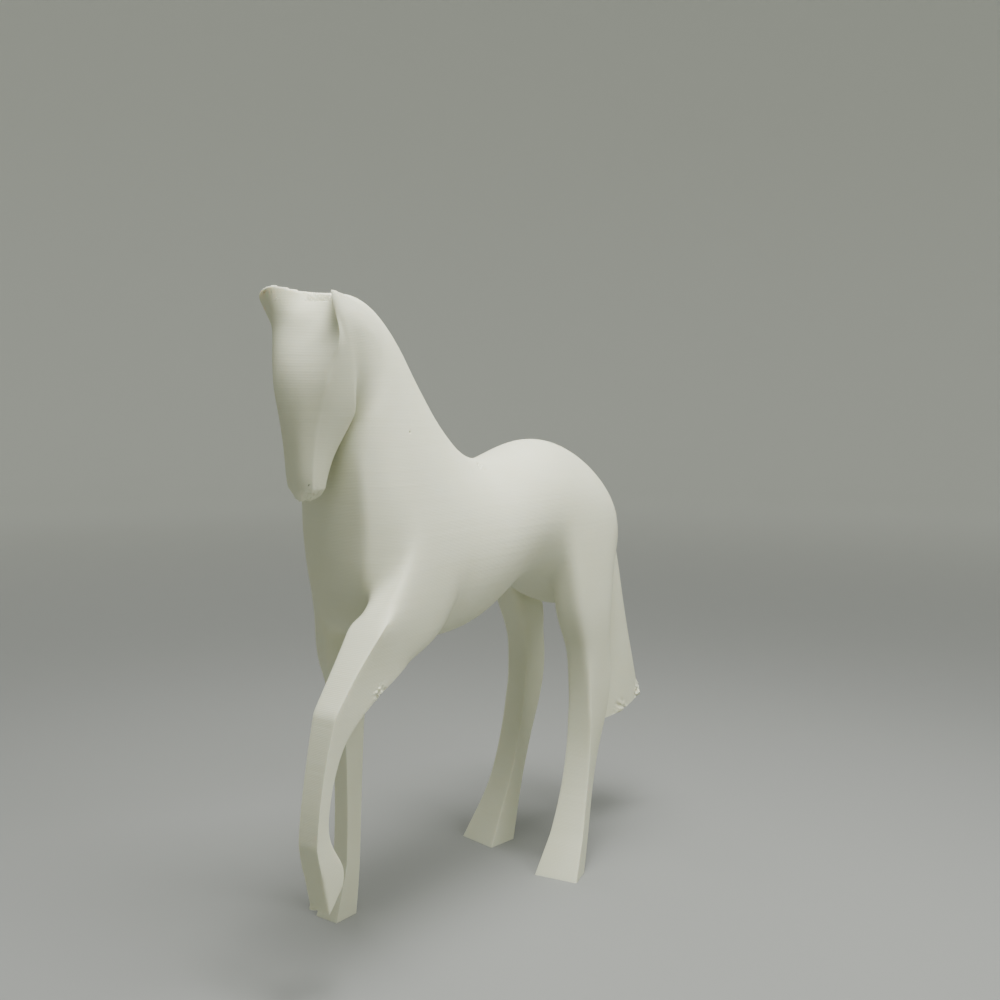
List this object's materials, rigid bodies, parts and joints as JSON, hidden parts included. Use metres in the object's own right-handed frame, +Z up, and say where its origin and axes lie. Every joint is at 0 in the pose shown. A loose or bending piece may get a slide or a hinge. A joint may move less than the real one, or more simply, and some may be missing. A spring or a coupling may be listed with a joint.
{
  "type": "horse figurine",
  "caption": "Walking horse figurine, 3-D printed in white PLA, with a raised left foreleg, long neck and lowered tail; stands on its hooves.",
  "frame": {"origin": "on the ground, under the middle of the outline box", "axes": "+Z up, -Y the way the horse faces, +X its left side"},
  "size_m": [0.028, 0.0922, 0.0932],
  "materials": {
    "white_pla": "matte, with fine horizontal print layers"
  },
  "bodies": {
    "root": {"horse": "white_pla"}
  },
  "joints": []
}
